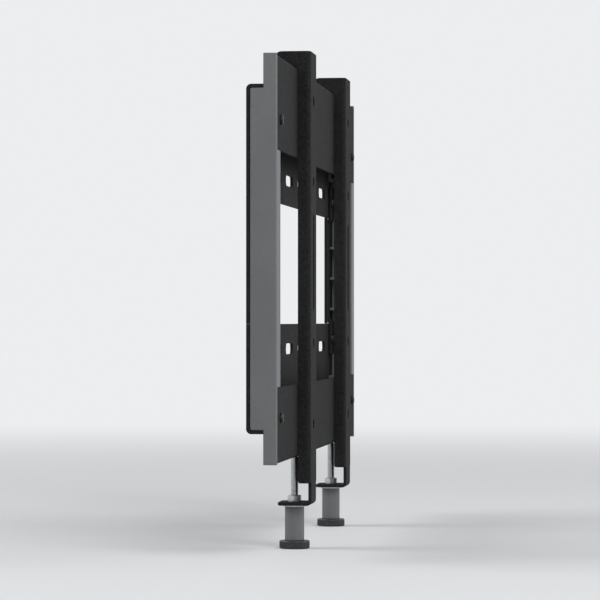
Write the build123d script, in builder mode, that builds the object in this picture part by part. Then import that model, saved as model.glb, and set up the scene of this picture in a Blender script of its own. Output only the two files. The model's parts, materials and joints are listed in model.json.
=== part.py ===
from build123d import *
import os

os.makedirs("parts", exist_ok=True)

# Fixed bracket: a frame of two folded steel rails and two uprights with moulded end caps,
# and two hanger arms that hook over the upper rail and lock under the lower one.
# X runs along the frame, +Y points into the mounting plane y = 0, Z is up.

# Frame, over its outer faces, and the hems that stand off the mounting plane
frame_width = 430.0
frame_height = 240.0
hem_rise = 18.0
hem_depth = 8.0
back_depth = 10.0

# Folded sheet of the rails, uprights and arms
sheet = 2.0
bend_inside = 1.0

# Front bands of the rails, and the fixing slots in the webs beside the bands' free edges
upper_band = 56.0
lower_band = 45.0
slot_drop = 10.0
slot_margin = 16.0
slot_width = 7.0
slot_length = 36.0
slot_pitch = 60.0

# Uprights, shouldered between the webs, with tabs joggled to lap over them and riveted there
upright_width = 33.0
shoulder_fit = 0.05
tab_slit = 1.2
tab_margin = 0.9
lap_clear = 4.0
joggle_clear = 1.5
rivet_radius = 2.0
rivet_pitch = 12.0
rivet_fit = 0.05
rivet_head_radius = 3.6
rivet_head_height = 1.6
rivet_dome = 1.4

# Moulded end caps, plugged into the rails and held by screws
cap_plate = 3.0
cap_fit = 0.2
cap_edge = 0.8
plug_length = 24.0
plug_wall = 2.4
column_return = 14.0
rib_wall = 1.8
rib_pitch = 22.0
rib_count = 3
cap_screw_radius = 1.5
cap_screw_length = 7.0
cap_screw_inset = 14.0
cap_screw_rise = 18.0
cap_screw_fit = 0.1
pan_radius = 3.0
pan_height = 1.8
pan_round = 1.1
recess_span = 3.0
recess_width = 0.75
recess_depth = 1.0

# Hanger arms: channels with hooked flanges
arm_spacing = 200.0
arm_width = 32.0
arm_standoff = 8.0
hook_rise = 10.0
hook_clear = 0.5
hook_back_gap = 3.0
hook_floor_gap = 5.0
hook_round = 5.0
hook_tip_round = 1.5
flange_overrun = 16.0
hole_radius = 3.3
hole_pitch_tall = 200.0
hole_pitch_short = 100.0
middle_slot_land = 20.0

# Locking shelf under the lower rail, with its nut, washer, stud, sleeve and moulded knob
shelf_drop = 28.0
shelf_width = 24.0
shelf_back_gap = 4.6
shelf_corner = 4.0
lock_radius = 2.5
lock_fit = 0.1
lock_end_chamfer = 0.8
nut_across = 8.0
nut_height = 4.0
washer_radius = 7.0
washer_height = 1.0
sleeve_radius = 6.0
sleeve_height = 21.0
sleeve_round = 0.5
knob_radius = 9.4
knob_height = 5.0
knob_round = 0.8
knob_floor = 3.0

# Places that follow from the sizes above
half_sheet = sheet / 2
bend = bend_inside + half_sheet
frame_depth = back_depth + hem_depth
frame_end = frame_width / 2
frame_top = frame_height / 2
back_top = frame_top - hem_rise
upper_edge = frame_top - upper_band
lower_edge = lower_band - frame_top
slot_row = min(upper_edge, -lower_edge) - slot_drop
web_end = slot_row - slot_margin
upright_lap = slot_drop + slot_margin - lap_clear
cap_inner = frame_end - cap_plate
plug_back = sheet + cap_fit
plug_front = frame_depth - sheet - cap_fit
plug_top = back_top - sheet - cap_fit
plug_corner = bend_inside + cap_fit
column_top = upper_edge - cap_fit
column_bottom = lower_edge + cap_fit
column_middle = (column_top + column_bottom) / 2
upright_x = frame_end - upright_width / 2
tab_width = rivet_pitch + 2 * (rivet_head_radius + tab_margin)
tab_slit_length = joggle_clear + 2 * sheet
slot_span = 2 * upright_x - upright_width
slot_count = int((slot_span - slot_length) // slot_pitch) + 1
arm_front = frame_depth + arm_standoff
arm_top = frame_top + hook_rise
hook_tip = back_top + hook_floor_gap
flange_x = arm_width / 2 - half_sheet
flange_bottom = -frame_top - flange_overrun
shelf_top = -frame_top - shelf_drop
shelf_bottom = shelf_top - sheet
lock_inset = (back_depth + frame_depth) / 2
sleeve_top = shelf_bottom - washer_height
knob_top = sleeve_top - sleeve_height
knob_bottom = knob_top - knob_height
stud_foot = knob_bottom + knob_floor
stud_tip = -frame_top
middle_slot_length = hole_pitch_short - 2 * middle_slot_land

# Each rail: the way its hem points and its band's free edge
rails = {
    "upper_rail": (1, upper_edge),
    "lower_rail": (-1, lower_edge),
}
hands = {"left": -1, "right": 1}
rivet_spots = [
    (hand * upright_x + shift * rivet_pitch / 2, up * (web_end + upright_lap / 2))
    for up, band_edge in rails.values()
    for hand in hands.values()
    for shift in (-1, 1)
]
cap_screw_spots = [
    (hand * (cap_inner - cap_screw_inset), band_edge + up * cap_screw_rise)
    for up, band_edge in rails.values()
    for hand in hands.values()
]
lock_spots = [(hand * arm_spacing / 2, -lock_inset) for hand in hands.values()]


def write(builder, name):
    builder.part.label = name
    export_step(builder.part, f"parts/{name}.step")


# Rails: web, flange, lip, hem and front band folded from one sheet
for rail_name, (up, band_edge) in rails.items():
    with BuildPart() as rail:
        with BuildSketch(Plane.YZ):
            with BuildLine():
                FilletPolyline(
                    (-half_sheet, up * web_end),
                    (-half_sheet, up * (back_top - half_sheet)),
                    (-back_depth - half_sheet, up * (back_top - half_sheet)),
                    (-back_depth - half_sheet, up * (frame_top - half_sheet)),
                    (half_sheet - frame_depth, up * (frame_top - half_sheet)),
                    (half_sheet - frame_depth, band_edge),
                    radius=bend,
                )
            trace(line_width=sheet)
        extrude(amount=frame_end, both=True)
        # The hem and band stop short, where the end caps cover them
        with BuildSketch(Plane.XZ.offset(back_depth)):
            with GridLocations(frame_width - cap_plate, 0, 2, 1):
                Rectangle(cap_plate, frame_height)
        extrude(amount=hem_depth, mode=Mode.SUBTRACT)
        # The flange's end is square there, without the inside of the bend
        with BuildSketch(Plane.XZ.offset(back_depth - bend_inside)):
            with Locations((0, up * (back_top + hem_rise / 2))):
                with GridLocations(frame_width - cap_plate, 0, 2, 1):
                    Rectangle(cap_plate, hem_rise)
        extrude(amount=bend_inside, mode=Mode.SUBTRACT)
        # Fixing slots and rivet holes through the web
        with BuildSketch(Plane.XZ):
            with Locations((0, up * slot_row)):
                with GridLocations(slot_pitch, 0, slot_count, 1):
                    SlotOverall(slot_length, slot_width)
            with Locations(*rivet_spots):
                Circle(rivet_radius + rivet_fit)
        extrude(amount=sheet, mode=Mode.SUBTRACT)
        # Cap screw holes through the front band
        with BuildSketch(Plane.XZ.offset(frame_depth - sheet)):
            with Locations(*cap_screw_spots):
                Circle(cap_screw_radius + cap_screw_fit)
        extrude(amount=sheet, mode=Mode.SUBTRACT)
    write(rail, rail_name)

# Uprights: flat straps in the plane of the webs, their tabs joggled forward to lap over them
for side, hand in hands.items():
    with BuildPart() as upright:
        with BuildSketch(Plane.XZ):
            with Locations((hand * upright_x, 0)):
                Rectangle(upright_width, 2 * (web_end - shoulder_fit))
                with GridLocations(0, 2 * web_end, 1, 2):
                    Rectangle(tab_width + 2 * tab_slit, 2 * tab_slit_length, mode=Mode.SUBTRACT)
        extrude(amount=sheet)
        with BuildSketch(Plane.YZ.offset(hand * upright_x)):
            with BuildLine():
                FilletPolyline(
                    (-sheet - half_sheet, web_end + upright_lap),
                    (-sheet - half_sheet, web_end - joggle_clear),
                    (-half_sheet, web_end - joggle_clear - sheet),
                    (-half_sheet, joggle_clear + sheet - web_end),
                    (-sheet - half_sheet, joggle_clear - web_end),
                    (-sheet - half_sheet, -web_end - upright_lap),
                    radius=bend,
                )
            trace(line_width=sheet)
        extrude(amount=tab_width / 2, both=True)
        with BuildSketch(Plane.XZ.offset(sheet)):
            with Locations(*rivet_spots):
                Circle(rivet_radius + rivet_fit)
        extrude(amount=sheet, mode=Mode.SUBTRACT)
    write(upright, f"{side}_upright")

# Rivets: flush with the mounting plane, domed in front
with BuildPart() as rivets:
    with BuildSketch(Plane.XZ):
        with Locations(*rivet_spots):
            Circle(rivet_radius)
    extrude(amount=2 * sheet)
    with BuildSketch(Plane.XZ.offset(2 * sheet)):
        with Locations(*rivet_spots):
            Circle(rivet_head_radius)
    extrude(amount=rivet_head_height)
    fillet(rivets.faces().filter_by(Axis.Y).group_by(Axis.Y)[0].edges(), radius=rivet_dome)
write(rivets, "upright_rivets")

# End caps: a stepped plate with a plug into each rail and a ribbed column between the bands
for side, hand in hands.items():
    cap_plane = Plane.YZ.offset(hand * cap_inner)
    with BuildPart() as cap:
        with BuildSketch(cap_plane) as cap_outline:
            with Locations((-back_depth, 0)):
                Rectangle(back_depth - plug_back, 2 * plug_top, align=(Align.MIN, Align.CENTER))
            fillet(cap_outline.vertices().group_by(Axis.X)[-1], radius=plug_corner)
            with Locations((-frame_depth, 0)):
                Rectangle(hem_depth, frame_height, align=(Align.MIN, Align.CENTER))
        extrude(amount=hand * cap_plate)
        outer_face = cap.faces().sort_by(Axis.X)[-1 if hand > 0 else 0]
        fillet(outer_face.edges(), radius=cap_edge)
        # Hollow plugs inside the rails
        for up, band_edge in rails.values():
            plug_height = plug_top - up * band_edge
            with BuildSketch(cap_plane):
                with Locations((-(plug_back + plug_front) / 2, band_edge + up * plug_height / 2)):
                    RectangleRounded(plug_front - plug_back, plug_height, plug_corner)
                offset(amount=-plug_wall, mode=Mode.SUBTRACT)
            extrude(amount=-hand * plug_length)
        # Front of the column between the bands, and the ribs behind it
        with BuildSketch(cap_plane):
            with Locations((-frame_depth, column_middle)):
                Rectangle(plug_wall, column_top - column_bottom, align=(Align.MIN, Align.CENTER))
                with GridLocations(0, rib_pitch, 1, rib_count):
                    Rectangle(frame_depth - plug_back, rib_wall, align=(Align.MIN, Align.CENTER))
        extrude(amount=-hand * column_return)
        # Pilot holes for the cap screws in the plugs' front walls
        with BuildSketch(Plane.XZ.offset(plug_front - plug_wall)):
            with Locations(*cap_screw_spots):
                Circle(cap_screw_radius + cap_screw_fit)
        extrude(amount=plug_wall, mode=Mode.SUBTRACT)
    write(cap, f"{side}_end_cap")

# Cap screws: pan heads with a cross recess, seated on the front bands
with BuildPart() as cap_screws:
    with BuildSketch(Plane.XZ.offset(frame_depth)):
        with Locations(*cap_screw_spots):
            Circle(pan_radius)
    extrude(amount=pan_height)
    fillet(cap_screws.faces().filter_by(Axis.Y).group_by(Axis.Y)[0].edges(), radius=pan_round)
    with BuildSketch(Plane.XZ.offset(frame_depth)):
        with Locations(*cap_screw_spots):
            Circle(cap_screw_radius)
    extrude(amount=-cap_screw_length)
    with BuildSketch(Plane.XZ.offset(frame_depth + pan_height)):
        with Locations(*cap_screw_spots):
            Rectangle(recess_span, recess_width)
            Rectangle(recess_width, recess_span)
    extrude(amount=-recess_depth, mode=Mode.SUBTRACT)
write(cap_screws, "cap_screws")

# Hanger arms: channels with hooked flanges, drilled webs and a locking shelf
for side, hand in hands.items():
    arm_x = hand * arm_spacing / 2
    arm_plane = Plane.YZ.offset(arm_x)
    with BuildPart() as arm:
        with BuildSketch(Plane.XY.offset(flange_bottom)):
            with BuildLine():
                FilletPolyline(
                    (arm_x - flange_x, -hook_back_gap),
                    (arm_x - flange_x, half_sheet - arm_front),
                    (arm_x + flange_x, half_sheet - arm_front),
                    (arm_x + flange_x, -hook_back_gap),
                    radius=bend,
                )
            trace(line_width=sheet)
        extrude(amount=arm_top - flange_bottom)
        # Side outline: a hook over the hem and a straight edge against both front bands
        hook_corners = [hook_round, hook_tip_round, hook_tip_round, bend_inside, bend_inside]
        with BuildSketch(arm_plane):
            with BuildLine():
                FilletPolyline(
                    (-arm_front, arm_top),
                    (-hook_back_gap, arm_top),
                    (-hook_back_gap, hook_tip),
                    (hook_clear - back_depth, hook_tip),
                    (hook_clear - back_depth, frame_top),
                    (-frame_depth, frame_top),
                    (-frame_depth, flange_bottom),
                    (-arm_front, flange_bottom),
                    radius=[0, *hook_corners, hook_tip_round, 0],
                    close=True,
                )
            make_face()
        extrude(amount=arm_width, both=True, mode=Mode.INTERSECT)
        # Shelf folded back from the web's lower end
        with BuildSketch(arm_plane):
            with BuildLine():
                FilletPolyline(
                    (half_sheet - arm_front, flange_bottom + sheet),
                    (half_sheet - arm_front, shelf_top - half_sheet),
                    (-shelf_back_gap, shelf_top - half_sheet),
                    radius=bend,
                )
            trace(line_width=sheet)
        extrude(amount=shelf_width / 2, both=True)
        fillet(arm.edges().filter_by(Axis.Z).group_by(Axis.Z)[0], radius=shelf_corner)
        # Round holes and the middle slot through the web
        with BuildSketch(Plane.XZ.offset(arm_front - sheet)):
            with Locations((arm_x, 0)):
                with GridLocations(0, hole_pitch_tall, 1, 2):
                    Circle(hole_radius)
                with GridLocations(0, hole_pitch_short, 1, 2):
                    Circle(hole_radius)
                SlotOverall(middle_slot_length, 2 * hole_radius, rotation=90)
        extrude(amount=sheet, mode=Mode.SUBTRACT)
        # Hole for the lock screw through the shelf
        with BuildSketch(Plane.XY.offset(shelf_bottom)):
            with Locations(*lock_spots):
                Circle(lock_radius + lock_fit)
        extrude(amount=sheet, mode=Mode.SUBTRACT)
    write(arm, f"{side}_hanger_arm")

# Lock nuts: hexagons seated on the shelves
with BuildPart() as lock_nuts:
    with BuildSketch(Plane.XY.offset(shelf_top)):
        with Locations(*lock_spots):
            RegularPolygon(nut_across / 2, side_count=6, major_radius=False)
            Circle(lock_radius + lock_fit, mode=Mode.SUBTRACT)
    extrude(amount=nut_height)
write(lock_nuts, "lock_nuts")

# Lock washers: flat rings between the shelves and the sleeves
with BuildPart() as lock_washers:
    with BuildSketch(Plane.XY.offset(sleeve_top)):
        with Locations(*lock_spots):
            Circle(washer_radius)
            Circle(lock_radius + lock_fit, mode=Mode.SUBTRACT)
    extrude(amount=washer_height)
write(lock_washers, "lock_washers")

# Lock screws: studs that rise from the knobs and bear on the lower hem
with BuildPart() as lock_screws:
    with BuildSketch(Plane.XY.offset(stud_foot)):
        with Locations(*lock_spots):
            Circle(lock_radius)
    extrude(amount=stud_tip - stud_foot)
    chamfer(lock_screws.faces().filter_by(Axis.Z).group_by(Axis.Z)[-1].edges(), length=lock_end_chamfer)
write(lock_screws, "lock_screws")

# Lock sleeves: plain spacers on the studs, between the washers and the knobs
with BuildPart() as lock_sleeves:
    with BuildSketch(Plane.XY.offset(knob_top)):
        with Locations(*lock_spots):
            Circle(sleeve_radius)
    extrude(amount=sleeve_height)
    fillet(lock_sleeves.edges().filter_by(GeomType.CIRCLE), radius=sleeve_round)
    with BuildSketch(Plane.XY.offset(knob_top)):
        with Locations(*lock_spots):
            Circle(lock_radius + lock_fit)
    extrude(amount=sleeve_height, mode=Mode.SUBTRACT)
write(lock_sleeves, "lock_sleeves")

# Lock knobs: thumb wheels moulded on the feet of the studs
with BuildPart() as lock_knobs:
    with BuildSketch(Plane.XY.offset(knob_bottom)):
        with Locations(*lock_spots):
            Circle(knob_radius)
    extrude(amount=knob_height)
    fillet(lock_knobs.edges().filter_by(GeomType.CIRCLE), radius=knob_round)
    with BuildSketch(Plane.XY.offset(stud_foot)):
        with Locations(*lock_spots):
            Circle(lock_radius)
    extrude(amount=knob_top - stud_foot, mode=Mode.SUBTRACT)
write(lock_knobs, "lock_knobs")
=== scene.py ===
import json
import math
import bpy
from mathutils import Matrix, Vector

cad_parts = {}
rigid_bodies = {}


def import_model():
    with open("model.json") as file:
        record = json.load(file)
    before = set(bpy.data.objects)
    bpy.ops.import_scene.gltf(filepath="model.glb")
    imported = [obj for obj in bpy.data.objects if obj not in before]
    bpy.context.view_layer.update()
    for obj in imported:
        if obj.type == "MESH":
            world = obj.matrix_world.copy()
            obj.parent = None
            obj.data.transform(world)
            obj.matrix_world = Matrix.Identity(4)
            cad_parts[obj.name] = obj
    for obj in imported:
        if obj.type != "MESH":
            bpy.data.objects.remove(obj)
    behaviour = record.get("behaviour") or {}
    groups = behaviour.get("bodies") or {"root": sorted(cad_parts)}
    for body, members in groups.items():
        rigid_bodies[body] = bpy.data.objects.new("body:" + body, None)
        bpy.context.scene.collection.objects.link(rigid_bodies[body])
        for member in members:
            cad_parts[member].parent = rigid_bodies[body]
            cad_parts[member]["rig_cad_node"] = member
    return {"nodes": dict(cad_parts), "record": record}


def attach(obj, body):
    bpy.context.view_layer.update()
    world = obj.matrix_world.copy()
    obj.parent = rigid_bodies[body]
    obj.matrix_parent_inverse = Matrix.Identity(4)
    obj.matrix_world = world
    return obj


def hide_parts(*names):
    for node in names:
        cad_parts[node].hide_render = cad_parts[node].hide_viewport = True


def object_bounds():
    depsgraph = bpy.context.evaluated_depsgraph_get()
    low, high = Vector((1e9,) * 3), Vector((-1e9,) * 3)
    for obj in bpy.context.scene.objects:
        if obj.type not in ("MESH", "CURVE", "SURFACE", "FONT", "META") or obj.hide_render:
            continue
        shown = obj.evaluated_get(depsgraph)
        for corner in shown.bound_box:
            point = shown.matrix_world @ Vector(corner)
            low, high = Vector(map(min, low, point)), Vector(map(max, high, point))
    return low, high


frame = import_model()
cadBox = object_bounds()
print("frame loaded:", len(frame["nodes"]), "nodes")

mm = 0.001  # Blender works in metres, sizes below are in millimetres
slotOfNode = {row["node"]: row["material_slot"] for row in frame["record"]["subparts"]}


# colours and nodes

def linearColour(hexCode):  # sRGB hex to linear RGBA, by the curve of the sRGB standard
    channels = [int(hexCode[i:i + 2], 16) / 255 for i in (1, 3, 5)]
    return [c / 12.92 if c <= 0.04045 else ((c + 0.055) / 1.055) ** 2.4 for c in channels] + [1.0]


def addNode(tree, kind, settings=None, inputs=None):  # inputs are plain values, or sockets to link from
    node = tree.nodes.new(kind)
    for name, value in (settings or {}).items():
        setattr(node, name, value)
    for name, value in (inputs or {}).items():
        if isinstance(value, bpy.types.NodeSocket):
            tree.links.new(value, node.inputs[name])
        else:
            node.inputs[name].default_value = value
    return node


def emptyMaterial(name):
    material = bpy.data.materials.new(name)
    material.use_nodes = True
    material.node_tree.nodes.clear()
    return material, material.node_tree


def setRamp(ramp, stops):  # two stops of (position, hex colour)
    for element, (position, hexCode) in zip(ramp.color_ramp.elements, stops):
        element.position = position
        element.color = linearColour(hexCode)


def perMetre(sizeMm):  # pattern scale whose spots are about this wide
    return 1 / (sizeMm * mm)


# finishes

powderLook = {
    "stops": ((0.34, "#141415"), (0.68, "#252526")),
    "mottleMm": 16.0, "mottleDetail": 3.0,                   # slow drift of the baked film
    "grainMm": 1.6, "grainDetail": 3.0, "grainBreak": 0.6,   # uneven pigment between the pebbles
    "grainShare": 0.8,                                       # of the tone, the rest is mottle
    "pebbleMm": 0.8, "pebbleDeepMm": 0.25,                   # really about 0.4 mm, drawn coarser to show
    "pebbleBlend": 0.7, "pebbleSpread": (0.1, 0.6),          # how pebbles merge, and from top to gap
    "peelMm": 7.0, "peelDeepMm": 0.12, "peelDetail": 1.0,    # orange peel of the melted film
    "rough": (0.6, 0.86), "specular": 0.13, "ior": 1.5,
}


def powderCoatedSteel(look):
    # textured polyester powder baked on folded steel: deep black, sandy to the eye, with hardly any gloss
    material, tree = emptyMaterial("powderCoatedSteel")
    place = addNode(tree, "ShaderNodeTexCoord").outputs["Object"]
    mottle = addNode(tree, "ShaderNodeTexNoise", None,
                     {"Vector": place, "Scale": perMetre(look["mottleMm"]), "Detail": look["mottleDetail"]})
    grain = addNode(tree, "ShaderNodeTexNoise", None,
                    {"Vector": place, "Scale": perMetre(look["grainMm"]),
                     "Detail": look["grainDetail"], "Roughness": look["grainBreak"]})
    pebble = addNode(tree, "ShaderNodeTexVoronoi", {"feature": "SMOOTH_F1"},
                     {"Vector": place, "Scale": perMetre(look["pebbleMm"]),
                      "Smoothness": look["pebbleBlend"]})
    peel = addNode(tree, "ShaderNodeTexNoise", None,
                   {"Vector": place, "Scale": perMetre(look["peelMm"]), "Detail": look["peelDetail"]})
    tone = addNode(tree, "ShaderNodeMix", {"data_type": "FLOAT"},
                   {0: look["grainShare"], 2: mottle.outputs["Fac"], 3: grain.outputs["Fac"]})
    colour = addNode(tree, "ShaderNodeValToRGB", None, {"Fac": tone.outputs[0]})
    setRamp(colour, look["stops"])
    rough = addNode(tree, "ShaderNodeMapRange", None,
                    {"Value": pebble.outputs["Distance"],
                     "From Min": look["pebbleSpread"][0], "From Max": look["pebbleSpread"][1],
                     "To Min": look["rough"][0], "To Max": look["rough"][1]})
    peelBump = addNode(tree, "ShaderNodeBump", None,
                       {"Height": peel.outputs["Fac"], "Distance": look["peelDeepMm"] * mm})
    pebbleBump = addNode(tree, "ShaderNodeBump", {"invert": True},
                         {"Height": pebble.outputs["Distance"], "Distance": look["pebbleDeepMm"] * mm,
                          "Normal": peelBump.outputs[0]})
    shader = addNode(tree, "ShaderNodeBsdfPrincipled", None,
                     {"Base Color": colour.outputs["Color"], "Roughness": rough.outputs[0],
                      "Normal": pebbleBump.outputs[0], "IOR": look["ior"],
                      "Specular IOR Level": look["specular"]})
    addNode(tree, "ShaderNodeOutputMaterial", None, {"Surface": shader.outputs[0]})
    return material


mouldedSurface = {  # what both colours of ABS share
    "flowDetail": 2.0, "grainDetail": 2.0, "grainBreak": 0.55,
    "grainShare": 0.4, "grainSpread": (0.3, 0.7), "ior": 1.53,
}
greyAbsLook = {
    **mouldedSurface,
    "stops": ((0.3, "#56585a"), (0.7, "#636567")),
    "flowMm": 32.0,                        # faint flow clouds from the gate
    "grainMm": 1.2, "grainDeepMm": 0.1,    # spark-eroded grain is about 0.3 mm, drawn coarser to show
    "rough": (0.46, 0.6),
}
blackAbsLook = {
    **mouldedSurface,
    "stops": ((0.3, "#18191a"), (0.7, "#222324")),
    "flowMm": 9.0,
    "grainMm": 0.8, "grainDeepMm": 0.07,   # the same grain on smaller pieces
    "rough": (0.42, 0.56),
}


def mouldedAbs(name, look):
    # ABS moulded in a spark-eroded tool: one even colour, fine matt grain, a soft sheen at low angles
    material, tree = emptyMaterial(name)
    place = addNode(tree, "ShaderNodeTexCoord").outputs["Object"]
    flow = addNode(tree, "ShaderNodeTexNoise", None,
                   {"Vector": place, "Scale": perMetre(look["flowMm"]), "Detail": look["flowDetail"]})
    grain = addNode(tree, "ShaderNodeTexNoise", None,
                    {"Vector": place, "Scale": perMetre(look["grainMm"]),
                     "Detail": look["grainDetail"], "Roughness": look["grainBreak"]})
    tone = addNode(tree, "ShaderNodeMix", {"data_type": "FLOAT"},
                   {0: look["grainShare"], 2: flow.outputs["Fac"], 3: grain.outputs["Fac"]})
    colour = addNode(tree, "ShaderNodeValToRGB", None, {"Fac": tone.outputs[0]})
    setRamp(colour, look["stops"])
    rough = addNode(tree, "ShaderNodeMapRange", None,
                    {"Value": grain.outputs["Fac"],
                     "From Min": look["grainSpread"][0], "From Max": look["grainSpread"][1],
                     "To Min": look["rough"][0], "To Max": look["rough"][1]})
    grainBump = addNode(tree, "ShaderNodeBump", None,
                        {"Height": grain.outputs["Fac"], "Distance": look["grainDeepMm"] * mm})
    shader = addNode(tree, "ShaderNodeBsdfPrincipled", None,
                     {"Base Color": colour.outputs["Color"], "Roughness": rough.outputs[0],
                      "Normal": grainBump.outputs[0], "IOR": look["ior"]})
    addNode(tree, "ShaderNodeOutputMaterial", None, {"Surface": shader.outputs[0]})
    return material


platedSurface = {"patchDetail": 2.0, "grainDetail": 1.0, "grainSpread": (0.3, 0.7)}  # what both zincs share
brightZincLook = {
    **platedSurface,
    "stops": ((0.35, "#b3b7bc"), (0.65, "#c0c0bd")),   # bluish to faintly yellow
    "patchMm": 3.0, "grainMm": 0.7,
    "rough": (0.24, 0.42),
}
blackZincLook = {
    **platedSurface,
    "stops": ((0.35, "#242629"), (0.65, "#312f2d")),
    "patchMm": 2.0, "grainMm": 0.6,
    "rough": (0.34, 0.52),
}


def zincPlatedSteel(name, look):
    # electroplated zinc: bare metal with patchy passivation tints, satin where the crystals are coarser
    material, tree = emptyMaterial(name)
    place = addNode(tree, "ShaderNodeTexCoord").outputs["Object"]
    patch = addNode(tree, "ShaderNodeTexNoise", None,
                    {"Vector": place, "Scale": perMetre(look["patchMm"]), "Detail": look["patchDetail"]})
    grain = addNode(tree, "ShaderNodeTexNoise", None,
                    {"Vector": place, "Scale": perMetre(look["grainMm"]), "Detail": look["grainDetail"]})
    colour = addNode(tree, "ShaderNodeValToRGB", None, {"Fac": patch.outputs["Fac"]})
    setRamp(colour, look["stops"])
    rough = addNode(tree, "ShaderNodeMapRange", None,
                    {"Value": grain.outputs["Fac"],
                     "From Min": look["grainSpread"][0], "From Max": look["grainSpread"][1],
                     "To Min": look["rough"][0], "To Max": look["rough"][1]})
    shader = addNode(tree, "ShaderNodeBsdfPrincipled", None,
                     {"Base Color": colour.outputs["Color"], "Roughness": rough.outputs[0], "Metallic": 1.0})
    addNode(tree, "ShaderNodeOutputMaterial", None, {"Surface": shader.outputs[0]})
    return material


finishes = {
    "black_coated_steel": powderCoatedSteel(powderLook),
    "grey_abs": mouldedAbs("greyMouldedAbs", greyAbsLook),
    "black_abs": mouldedAbs("blackMouldedAbs", blackAbsLook),
    "black_zinc_steel": zincPlatedSteel("blackZincPlate", blackZincLook),
    "bright_zinc_steel": zincPlatedSteel("brightZincPlate", brightZincLook),
}
print("finishes made:", len(finishes))


# modelling steps that the pieces share

softAngle = math.radians(38)    # edges sharper than this stay crisp
flatAngle = math.radians(0.1)   # faces that turn less than this are one flat
weld = 0.002 * mm               # points closer than this are one point
near = 0.01 * mm                # points are found by their place to within this
cornerSteps = 4                 # steps along a small rounding
cutterWider = 0.2               # a cutter stands this far clear of the sides that it leaves alone
cutterLonger = 1.0              # and this far past their ends


def pick(*objects):  # select these alone, the last one active
    bpy.ops.object.select_all(action="DESELECT")
    for item in objects:
        item.select_set(True)
    bpy.context.view_layer.objects.active = objects[-1]


def deselectMesh(selectMode):  # from edit mode: nothing selected, then out, to select by place or normal
    bpy.ops.mesh.select_mode(type=selectMode)
    bpy.ops.mesh.select_all(action="DESELECT")
    bpy.ops.object.mode_set(mode="OBJECT")


def applyModifier(piece, kind, settings):
    pick(piece)
    bpy.ops.object.modifier_add(type=kind)
    modifier = piece.modifiers[-1]
    for name, value in settings.items():
        setattr(modifier, name, value)
    bpy.ops.object.modifier_apply(modifier=modifier.name)


def shadePiece(piece):  # smooth rounds, flat faces that stay flat
    pick(piece)
    bpy.ops.object.shade_smooth_by_angle(angle=softAngle)
    applyModifier(piece, "WEIGHTED_NORMAL", {"keep_sharp": True})


def dressPiece(piece, nodeName):  # finish, body and CAD node
    piece.data.materials.clear()
    piece.data.materials.append(finishes[slotOfNode[nodeName]])
    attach(piece, "root")
    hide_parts(nodeName)


def drawProfile(name, points):  # a line through (radius, height) points, left in edit mode
    bpy.ops.object.select_all(action="DESELECT")
    bpy.ops.mesh.primitive_plane_add(size=mm)
    piece = bpy.context.object
    piece.name = name
    piece.data.name = name
    bpy.ops.object.mode_set(mode="EDIT")
    bpy.ops.mesh.select_all(action="SELECT")
    bpy.ops.mesh.merge(type="CENTER")
    bpy.ops.transform.translate(value=(points[0][0] * mm, 0, points[0][1] * mm))
    for here, there in zip(points, points[1:]):
        step = ((there[0] - here[0]) * mm, 0, (there[1] - here[1]) * mm)
        bpy.ops.mesh.extrude_vertices_move(TRANSFORM_OT_translate={"value": step})
    bpy.ops.mesh.select_all(action="SELECT")
    return piece


def closeShell():  # merge, turn outwards, leave edit mode
    bpy.ops.mesh.select_all(action="SELECT")
    bpy.ops.mesh.remove_doubles(threshold=weld)
    bpy.ops.mesh.dissolve_degenerate(threshold=weld)
    bpy.ops.mesh.normals_make_consistent(inside=False)
    bpy.ops.object.mode_set(mode="OBJECT")


def turnProfile(name, points, steps):  # lathe work: the profile spun about Z
    piece = drawProfile(name, points)
    bpy.ops.mesh.spin(steps=steps, angle=math.tau, center=(0, 0, 0), axis=(0, 0, 1))
    closeShell()
    return piece


def arcPoints(centre, radius, start, end, count):  # points of a rounding, angles in degrees
    angles = [math.radians(start + (end - start) * i / count) for i in range(count + 1)]
    return [(centre[0] + radius * math.cos(a), centre[1] + radius * math.sin(a)) for a in angles]


def carve(piece, cutter, operation="DIFFERENCE"):
    applyModifier(piece, "BOOLEAN", {"operation": operation, "solver": "EXACT", "object": cutter})
    pick(cutter)
    bpy.ops.object.delete()
    pick(piece)
    bpy.ops.object.mode_set(mode="EDIT")
    closeShell()


threadTooth = {"root": (0.2, 0.8), "crest": (0.45, 0.55)}  # where the flanks meet them, in pitches
spareTurns = 2                                             # wound past each end, then cut off


def windThread(name, thread):  # one tooth wound up by the Screw modifier, then both ends cut flat
    crest, root, pitch = thread["crest"], thread["root"], thread["pitch"]
    start = thread["from"] - spareTurns * pitch
    rise, fall = threadTooth["root"]
    crestStart, crestEnd = threadTooth["crest"]
    tooth = [(root, 0), (root, rise), (crest, crestStart), (crest, crestEnd), (root, fall), (root, 1)]
    piece = drawProfile(name, [(r, start + along * pitch) for r, along in tooth])
    bpy.ops.object.mode_set(mode="OBJECT")
    turns = math.ceil((thread["to"] - thread["from"]) / pitch) + 2 * spareTurns
    applyModifier(piece, "SCREW",
                  {"axis": "Z", "angle": math.tau, "screw_offset": pitch * mm, "iterations": turns,
                   "steps": thread["steps"], "render_steps": thread["steps"]})
    bpy.ops.object.mode_set(mode="EDIT")
    bpy.ops.mesh.select_all(action="SELECT")
    bpy.ops.mesh.remove_doubles(threshold=weld)
    bpy.ops.mesh.bisect(plane_co=(0, 0, thread["from"] * mm), plane_no=(0, 0, 1), threshold=weld,
                        use_fill=True, clear_inner=True)
    bpy.ops.mesh.select_all(action="SELECT")
    bpy.ops.mesh.bisect(plane_co=(0, 0, thread["to"] * mm), plane_no=(0, 0, 1), threshold=weld,
                        use_fill=True, clear_outer=True)
    closeShell()
    return piece


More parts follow.
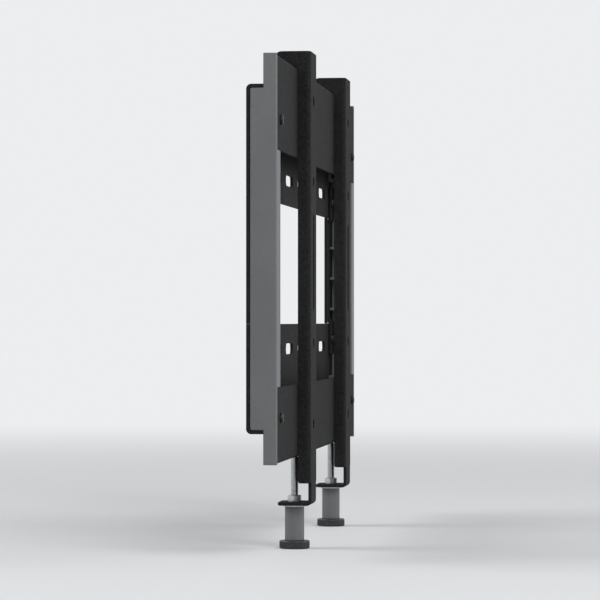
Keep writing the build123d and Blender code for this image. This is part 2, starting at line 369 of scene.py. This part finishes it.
def joinPieces(name, parts):
    pick(*parts)
    bpy.ops.object.join()
    piece = bpy.context.object
    piece.name = name
    piece.data.name = name
    return piece


def placeCopies(model, pieceName, nodeName, spots, tilt=0.0):  # spots are (x, y, z, own turn in degrees)
    copies = []
    for x, y, z, ownTurn in spots:
        pick(model)
        bpy.ops.object.duplicate()
        item = bpy.context.object
        item.location = (x * mm, y * mm, z * mm)
        twist = math.radians(ownTurn)
        item.rotation_euler = (math.radians(tilt), -twist, 0) if tilt else (0, 0, twist)
        bpy.ops.object.transform_apply(location=True, rotation=True, scale=True)
        copies.append(item)
    pick(model)
    bpy.ops.object.delete()
    piece = joinPieces(pieceName, copies)
    shadePiece(piece)
    dressPiece(piece, nodeName)


# folded sheets and moulded caps: the CAD form, with the raw edges rounded as shearing and coating leave them

railForm = {"edgeMm": 0.3, "cutAxis": 0,
            "cuts": (-204.5, -198, -192.5, -150, -90, -30, 30, 90, 150, 192.5, 198, 204.5)}
capForm = {"edgeMm": 0.2, "cutAxis": 2, "cuts": (82, 0, -93)}
roundedForms = {  # the flats are cut through the hole centres, across X (0) or Z (2)
    "upperRail": {"node": "upper_rail", **railForm},
    "lowerRail": {"node": "lower_rail", **railForm},
    "leftUpright": {"node": "left_upright", "edgeMm": 0.3, "cutAxis": 0, "cuts": (-192.5, -204.5)},
    "rightUpright": {"node": "right_upright", "edgeMm": 0.3, "cutAxis": 0, "cuts": (192.5, 204.5)},
    "leftHangerArm": {"node": "left_hanger_arm", "edgeMm": 0.3, "cutAxis": 0, "cuts": (-100,)},
    "rightHangerArm": {"node": "right_hanger_arm", "edgeMm": 0.3, "cutAxis": 0, "cuts": (100,)},
    "leftEndCap": {"node": "left_end_cap", **capForm},
    "rightEndCap": {"node": "right_end_cap", **capForm},
}
edgeSteps = 2  # faces across a rounded edge


def selectRawEdges(piece):  # edges that stand out and are sharper than softAngle
    facesOfEdge = {}
    for face in piece.data.polygons:
        corners = list(face.vertices)
        for start, end in zip(corners, corners[1:] + corners[:1]):
            facesOfEdge.setdefault((min(start, end), max(start, end)), []).append((face.normal, start, end))
    for edge in piece.data.edges:
        faces = facesOfEdge.get(tuple(sorted(edge.vertices)), [])
        edge.select = False
        if len(faces) == 2:
            (first, start, end), (second, _, _) = faces
            along = piece.data.vertices[end].co - piece.data.vertices[start].co
            edge.select = first.cross(second).dot(along) > 0 and first.angle(second) > softAngle


def makeRoundedForm(pieceName, form):
    pick(frame["nodes"][form["node"]])
    bpy.ops.object.duplicate()
    piece = bpy.context.object
    piece.name = pieceName
    piece.data.name = pieceName
    del piece["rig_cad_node"]  # the copy is a new piece
    bpy.ops.mesh.customdata_custom_splitnormals_clear()
    bpy.ops.object.mode_set(mode="EDIT")
    bpy.ops.mesh.select_all(action="SELECT")
    bpy.ops.mesh.remove_doubles(threshold=weld)
    across = [float(axis == form["cutAxis"]) for axis in range(3)]
    for place in form["cuts"]:
        through = [place * mm if share else 0 for share in across]
        bpy.ops.mesh.select_all(action="SELECT")
        bpy.ops.mesh.bisect(plane_co=through, plane_no=across)
        bpy.ops.mesh.mark_seam(clear=False)
    bpy.ops.mesh.select_all(action="SELECT")
    bpy.ops.mesh.dissolve_limited(angle_limit=flatAngle, delimit={"SEAM"})
    bpy.ops.mesh.mark_seam(clear=True)
    deselectMesh("EDGE")
    selectRawEdges(piece)
    bpy.ops.object.mode_set(mode="EDIT")
    bpy.ops.mesh.bevel(offset=form["edgeMm"] * mm, segments=edgeSteps, affect="EDGES", clamp_overlap=False)
    bpy.ops.mesh.select_mode(type="VERT")
    bpy.ops.mesh.select_all(action="SELECT")
    bpy.ops.mesh.dissolve_degenerate(threshold=weld)
    bpy.ops.object.mode_set(mode="OBJECT")
    shadePiece(piece)
    dressPiece(piece, form["node"])


for formName, form in roundedForms.items():
    makeRoundedForm(formName, form)
print("sheets and caps rounded:", len(roundedForms))

# lock screws: threaded studs that stand in the knobs and bear on the lower hem

lockScrew = {
    "thread": {"crest": 2.5, "root": 2.07, "pitch": 0.8, "from": -2.0, "to": 31.0, "steps": 32},
    "tipLength": 0.8, "foot": -23.0,  # heights are from the top of the sleeve
    "spots": ((-100, -14, -151, 14), (100, -14, -151, 41)),
}


def makeLockScrew(size):
    thread, tipLength, foot = size["thread"], size["tipLength"], size["foot"]
    root, crest, tipTop, bottom = thread["root"], thread["crest"], thread["to"], thread["from"]
    shank = windThread("lockScrewShank", thread)
    cutterR, cutterFoot = crest + cutterWider, bottom - cutterLonger
    cutter = [(0, cutterFoot), (cutterR, cutterFoot), (cutterR, tipTop - tipLength - cutterWider),
              (crest - tipLength, tipTop), (0, tipTop)]
    carve(shank, turnProfile("lockScrewTip", cutter, thread["steps"]), "INTERSECT")
    plain = [(0, foot), (root, foot), (root, bottom), (0, bottom)]  # hidden in the sleeve and knob
    return joinPieces("lockScrew", [turnProfile("lockScrewFoot", plain, thread["steps"]), shank])


placeCopies(makeLockScrew(lockScrew), "lockScrews", "lock_screws", lockScrew["spots"])
print("lock screws made")

# lock sleeves: plain moulded spacers on the studs, with rounded ends and a countersunk bore

lockSleeve = {
    "outer": 6.0, "high": 21.0, "round": 0.5, "bore": 2.6, "sink": 0.4, "turnSteps": 64,
    "spots": ((-100, -14, -172, 20), (100, -14, -172, 75)),
}


def makeLockSleeve(size):
    outer, high, edge = size["outer"], size["high"], size["round"]
    bore, sink = size["bore"], size["sink"]
    outside = arcPoints((outer - edge, edge), edge, -90, 0, cornerSteps)
    outside += arcPoints((outer - edge, high - edge), edge, 0, 90, cornerSteps)
    inside = [(bore + sink, high), (bore, high - sink), (bore, sink), (bore + sink, 0)]
    return turnProfile("lockSleeve", [(bore + sink, 0)] + outside + inside, size["turnSteps"])


placeCopies(makeLockSleeve(lockSleeve), "lockSleeves", "lock_sleeves", lockSleeve["spots"])
print("lock sleeves made")

# lock knobs: thumb wheels on the feet of the studs, ridged round the rim and dished below

lockKnob = {
    "wheelR": 9.4, "high": 5.0, "round": 0.8, "ridges": 40, "ridgeDeep": 0.45, "ridgeInset": 0.06,
    "bore": 2.5, "boreDeep": 2.0, "dishR": 7.2, "dishDeep": 0.5,
    "gateR": 1.1, "gateHigh": 0.25, "gateDraft": 0.1,  # the moulding gate's stub in the dish
    "spots": ((-100, -14, -177, 3), (100, -14, -177, 58)),
}


def makeLockKnob(size):
    wheelR, high, edge = size["wheelR"], size["high"], size["round"]
    columns = 2 * size["ridges"]
    boreFloor = high - size["boreDeep"]
    gripRows = (high - edge - size["ridgeInset"], edge + size["ridgeInset"])
    bore = [(0, boreFloor), (size["bore"], boreFloor), (size["bore"], high)]
    rim = arcPoints((wheelR - edge, high - edge), edge, 90, 0, cornerSteps)
    rim += [(wheelR, row) for row in gripRows]
    rim += arcPoints((wheelR - edge, edge), edge, 0, -90, cornerSteps)
    dishTop, gateTip = size["dishDeep"], size["dishDeep"] - size["gateHigh"]
    dish = [(size["dishR"], 0), (size["dishR"] - size["dishDeep"], dishTop), (size["gateR"], dishTop),
            (size["gateR"] - size["gateDraft"], gateTip), (0, gateTip)]
    knob = turnProfile("lockKnob", bore + rim + dish, columns)
    bpy.ops.object.mode_set(mode="EDIT")
    deselectMesh("VERT")
    for vertex in knob.data.vertices:  # every other column of the grip goes inwards
        column = round(math.atan2(vertex.co.y, vertex.co.x) / math.tau * columns)
        onRim = math.hypot(vertex.co.x, vertex.co.y) > wheelR * mm - near
        onGrip = any(abs(vertex.co.z - row * mm) < near for row in gripRows)
        vertex.select = onRim and onGrip and column % 2 == 0
    bpy.ops.object.mode_set(mode="EDIT")
    inwards = 1 - size["ridgeDeep"] / wheelR
    bpy.ops.transform.resize(value=(inwards, inwards, 1), center_override=(0, 0, 0))
    bpy.ops.object.mode_set(mode="OBJECT")
    return knob


placeCopies(makeLockKnob(lockKnob), "lockKnobs", "lock_knobs", lockKnob["spots"])
print("lock knobs made")

# lock nuts: hexagons with turned corners and a countersunk bore

lockNut = {
    "across": 8.0, "high": 4.0, "cornerHigh": 0.55, "faceInset": 0.15, "barrelSpare": 0.02,
    "bore": 2.6, "sink": 0.5, "drillSpare": 0.1, "barrelSteps": 48, "boreSteps": 32,
    "spots": ((-100, -14, -148, 0), (100, -14, -148, 0)),
}


def makeLockNut(size):
    high, corner = size["high"], size["cornerHigh"]
    halfSide = math.radians(30)
    cornerR = size["across"] / 2 / math.cos(halfSide)
    bpy.ops.object.select_all(action="DESELECT")
    bpy.ops.mesh.primitive_cylinder_add(vertices=6, radius=cornerR * mm, depth=high * mm,
                                        location=(0, 0, high / 2 * mm), rotation=(0, 0, halfSide))
    nut = bpy.context.object
    nut.name = "lockNut"
    bpy.ops.object.transform_apply(location=True, rotation=True, scale=True)
    faceR, barrelR = size["across"] / 2 - size["faceInset"], cornerR + size["barrelSpare"]
    barrel = [(0, 0), (faceR, 0), (barrelR, corner), (barrelR, high - corner), (faceR, high), (0, high)]
    carve(nut, turnProfile("nutBarrel", barrel, size["barrelSteps"]), "INTERSECT")
    bore, sink, spare = size["bore"], size["sink"], size["drillSpare"]
    drill = [(0, -spare), (bore + sink, -spare), (bore, sink), (bore, high - sink),
             (bore + sink, high + spare), (0, high + spare)]
    carve(nut, turnProfile("nutDrill", drill, size["boreSteps"]))
    return nut


placeCopies(makeLockNut(lockNut), "lockNuts", "lock_nuts", lockNut["spots"])
print("lock nuts made")

# lock washers: stamped rings, rounded on the punched side and burred on the other

lockWasher = {
    "outer": 7.0, "bore": 2.6, "high": 1.0, "round": 0.35, "burr": 0.1, "turnSteps": 48,
    "spots": ((-100, -14, -151, 0), (100, -14, -151, 120)),
}


def makeLockWasher(size):
    outer, bore, high = size["outer"], size["bore"], size["high"]
    edge, burr = size["round"], size["burr"]
    rounding = arcPoints((outer - edge, edge), edge, -90, 0, cornerSteps)
    burredSide = [(outer, high - burr), (outer - burr, high), (bore + burr, high)]
    inside = [(bore, high - burr), (bore, burr), (bore + burr, 0)]
    return turnProfile("lockWasher", [(bore + burr, 0)] + rounding + burredSide + inside, size["turnSteps"])


placeCopies(makeLockWasher(lockWasher), "lockWashers", "lock_washers", lockWasher["spots"])
print("lock washers made")

# cap screws: pan heads with a cross recess, self-tapping threads in the plugs

capScrew = {
    "panR": 3.0, "panHigh": 1.8, "panRound": 1.1, "panFoot": 0.1, "turnSteps": 40,
    "crown": 0.08, "crownAngle": 88, "crownSteps": 6,  # the rounding stops where the crown starts
    "crossSpan": 3.0, "crossWide": 0.75, "crossDeep": 1.0, "crossTaper": 0.45, "crossSpare": 0.2,
    "thread": {"crest": 1.5, "root": 1.1, "pitch": 1.2, "from": -7.0, "to": 0.3, "steps": 24},
    "pointLength": 2.2,
    "spots": ((-198, -18, 82, 18), (198, -18, 82, 63), (-198, -18, -93, 77), (198, -18, -93, 34)),
}
facingDown = -0.9  # a face whose normal has less Z than this is an underside


def makeCapScrew(size):
    panR, panHigh, panRound, panFoot = size["panR"], size["panHigh"], size["panRound"], size["panFoot"]
    rounding = arcPoints((panR - panRound, panHigh - size["crown"] - panRound), panRound,
                         0, size["crownAngle"], size["crownSteps"])
    pan = [(0, 0), (panR - panFoot, 0), (panR, panFoot)] + rounding + [(0, panHigh)]
    head = turnProfile("capScrewHead", pan, size["turnSteps"])
    wingHigh = size["crossDeep"] + size["crossSpare"]
    wingMiddle = panHigh - size["crossDeep"] / 2 + size["crossSpare"] / 2
    for quarter in (0, 90):
        bpy.ops.object.select_all(action="DESELECT")
        bpy.ops.mesh.primitive_cube_add(size=mm, location=(0, 0, wingMiddle * mm),
                                        rotation=(0, 0, math.radians(quarter)))
        wing = bpy.context.object
        wing.scale = (size["crossSpan"], size["crossWide"], wingHigh)
        bpy.ops.object.transform_apply(location=True, rotation=True, scale=True)
        bpy.ops.object.mode_set(mode="EDIT")
        deselectMesh("FACE")
        for face in wing.data.polygons:  # the underside shrinks, so that the recess tapers
            face.select = face.normal.z < facingDown
        bpy.ops.object.mode_set(mode="EDIT")
        bpy.ops.transform.resize(value=(size["crossTaper"], size["crossTaper"], 1), center_override=(0, 0, 0))
        bpy.ops.mesh.select_mode(type="VERT")
        bpy.ops.object.mode_set(mode="OBJECT")
        carve(head, wing)
    thread = size["thread"]
    shank = windThread("capScrewShank", thread)
    cutterR, bottom = thread["crest"] + cutterWider, thread["from"]
    cutter = [(0, bottom), (cutterR, bottom + size["pointLength"]),
              (cutterR, cutterLonger), (0, cutterLonger)]  # up into the head
    carve(shank, turnProfile("capScrewPoint", cutter, thread["steps"]), "INTERSECT")
    return joinPieces("capScrew", [head, shank])


placeCopies(makeCapScrew(capScrew), "capScrews", "cap_screws", capScrew["spots"], tilt=90)
print("cap screws made")

# upright rivets: domed heads with the broken mandrel in the middle, set flush behind

uprightRivet = {
    "headR": 3.6, "headHigh": 1.6, "brim": 0.15, "seatInset": 0.1, "turnSteps": 36,
    "dome": 1.4, "domeAngle": 84, "domeSteps": 7,
    "mouth": 1.25, "mouthDeep": 0.3, "mouthFit": 0.1,           # the hole that the mandrel was pulled into
    "mandrelR": 0.95, "mandrelDrop": 0.45,
    "mandrelTear": (0.15, 0.2, 0.12),                           # its end: edge in, edge down, middle up
    "shankR": 2.0, "shankEdge": 0.1, "grip": 4.0,
    "setDish": 0.25, "setDishFloor": 0.55, "setDishRim": 0.75,  # radii as shares of the shank's
    "x": (-204.5, -192.5, 192.5, 204.5), "z": (-49, 49), "y": -4, "turnStep": 37,
}


def makeUprightRivet(size):
    headR, headHigh, dome = size["headR"], size["headHigh"], size["dome"]
    shankR, grip, edge = size["shankR"], size["grip"], size["shankEdge"]
    mandrelR, mandrelTop = size["mandrelR"], headHigh - size["mandrelDrop"]
    tearIn, tearDown, tearUp = size["mandrelTear"]
    dishFloor = -grip + size["setDish"]
    back = [(0, dishFloor), (shankR * size["setDishFloor"], dishFloor), (shankR * size["setDishRim"], -grip),
            (shankR - edge, -grip), (shankR, -grip + edge), (shankR, 0), (headR - size["seatInset"], 0)]
    rounding = arcPoints((headR - dome, headHigh - dome), dome, 0, size["domeAngle"], size["domeSteps"])
    mandrel = [(size["mouth"], headHigh), (mandrelR + size["mouthFit"], headHigh - size["mouthDeep"]),
               (mandrelR, mandrelTop - tearDown), (mandrelR - tearIn, mandrelTop), (0, mandrelTop + tearUp)]
    profile = back + [(headR, size["brim"])] + rounding + mandrel
    return turnProfile("uprightRivet", profile, size["turnSteps"])


rivetColumns = uprightRivet["x"]
rivetSpots = [(x, uprightRivet["y"], z, (i + len(rivetColumns) * j) * uprightRivet["turnStep"])
              for j, z in enumerate(uprightRivet["z"]) for i, x in enumerate(rivetColumns)]
placeCopies(makeUprightRivet(uprightRivet), "uprightRivets", "upright_rivets", rivetSpots, tilt=90)
print("rivets made:", len(rivetSpots))

# stage: a wide pale floor that runs out into the background

stage = {
    "floor": "#e3e5e7", "background": "#eceeef", "floorM": 40.0,
    "rough": (0.6, 0.75), "specular": 0.2, "cloudMm": 80.0, "cloudDetail": 2.0,
    "fadeFromM": 0.5, "fadeToM": 2.2,  # distances from the middle of the floor
}


def seenDirectly(tree):  # 1 for camera, mirror and see-through rays, 0 for rays that light the object
    rays = addNode(tree, "ShaderNodeLightPath")
    some = addNode(tree, "ShaderNodeMath", {"operation": "MAXIMUM"},
                   {0: rays.outputs["Is Camera Ray"], 1: rays.outputs["Is Glossy Ray"]})
    return addNode(tree, "ShaderNodeMath", {"operation": "MAXIMUM"},
                   {0: some.outputs[0], 1: rays.outputs["Is Transmission Ray"]}).outputs[0]


def paleFloor(look):
    # matt painted board: pale, barely uneven, fading into the background far from the object
    material, tree = emptyMaterial("paintedFloorBoard")
    place = addNode(tree, "ShaderNodeTexCoord").outputs["Object"]
    cloud = addNode(tree, "ShaderNodeTexNoise", None,
                    {"Vector": place, "Scale": perMetre(look["cloudMm"]), "Detail": look["cloudDetail"]})
    rough = addNode(tree, "ShaderNodeMapRange", None,
                    {"Value": cloud.outputs["Fac"], "To Min": look["rough"][0], "To Max": look["rough"][1]})
    board = addNode(tree, "ShaderNodeBsdfPrincipled", None,
                    {"Base Color": linearColour(look["floor"]), "Roughness": rough.outputs[0],
                     "Specular IOR Level": look["specular"]})
    distance = addNode(tree, "ShaderNodeVectorMath", {"operation": "LENGTH"}, {0: place})
    fade = addNode(tree, "ShaderNodeMapRange", {"interpolation_type": "SMOOTHSTEP"},
                   {"Value": distance.outputs["Value"],
                    "From Min": look["fadeFromM"], "From Max": look["fadeToM"]})
    fadeSeen = addNode(tree, "ShaderNodeMath", {"operation": "MULTIPLY"},
                       {0: fade.outputs[0], 1: seenDirectly(tree)})
    backdrop = addNode(tree, "ShaderNodeEmission", None, {"Color": linearColour(look["background"])})
    mixed = addNode(tree, "ShaderNodeMixShader", None,
                    {0: fadeSeen.outputs[0], 1: board.outputs[0], 2: backdrop.outputs[0]})
    addNode(tree, "ShaderNodeOutputMaterial", None, {"Surface": mixed.outputs[0]})
    return material


bpy.ops.object.select_all(action="DESELECT")
bpy.ops.mesh.primitive_plane_add(size=stage["floorM"], location=(0, 0, cadBox[0].z))
floor = bpy.context.object
floor.name = "floor"
bpy.ops.object.transform_apply(location=True, rotation=True, scale=True)
floor.data.materials.append(paleFloor(stage))
print("floor laid")

# light: an even studio light and three large softboxes

studio = {
    "evenStrength": 0.36,
    "softboxes": {  # place and width in metres, watts
        "keySoftbox": ((-1.95, -1.25, 1.5), 1.6, 40.0),
        "frontSoftbox": ((0.5, -2.3, 0.8), 1.6, 17.0),
        "backSoftbox": ((-0.3, 2.1, 1.3), 1.6, 32.0),
    },
}
world = bpy.data.worlds.new("studioWorld")
bpy.context.scene.world = world
world.use_nodes = True
worldTree = world.node_tree
worldTree.nodes.clear()
evenLight = addNode(worldTree, "ShaderNodeBackground", None, {"Strength": studio["evenStrength"]})
paleBackground = addNode(worldTree, "ShaderNodeBackground", None,
                         {"Color": linearColour(stage["background"]), "Strength": 1.0})
surround = addNode(worldTree, "ShaderNodeMixShader", None,
                   {0: seenDirectly(worldTree), 1: evenLight.outputs[0], 2: paleBackground.outputs[0]})
addNode(worldTree, "ShaderNodeOutputWorld", None, {"Surface": surround.outputs[0]})
for lampName, (place, width, watts) in studio["softboxes"].items():
    bpy.ops.object.light_add(type="AREA", location=place)
    lamp = bpy.context.object
    lamp.name = lampName
    lamp.data.shape = "SQUARE"
    lamp.data.size = width
    lamp.data.energy = watts
    lamp.visible_camera = False
    lamp.rotation_euler = (-Vector(place)).to_track_quat("-Z", "Y").to_euler()
print("light set:", len(studio["softboxes"]), "softboxes")

# camera: where the photograph was taken from, with a longer lens so that the bracket fills the picture

viewpoint = {"place": (-1.895, -0.240, -0.036), "target": (0.0, -0.005, -0.0224), "lensMm": 175.0}
bpy.ops.object.camera_add(location=viewpoint["place"])
camera = bpy.context.object
camera.name = "camera"
camera.data.lens = viewpoint["lensMm"]
sight = Vector(viewpoint["target"]) - Vector(viewpoint["place"])
camera.rotation_euler = sight.to_track_quat("-Z", "Y").to_euler()
bpy.context.scene.camera = camera
bpy.context.scene.view_settings.view_transform = "Standard"
print("camera set")
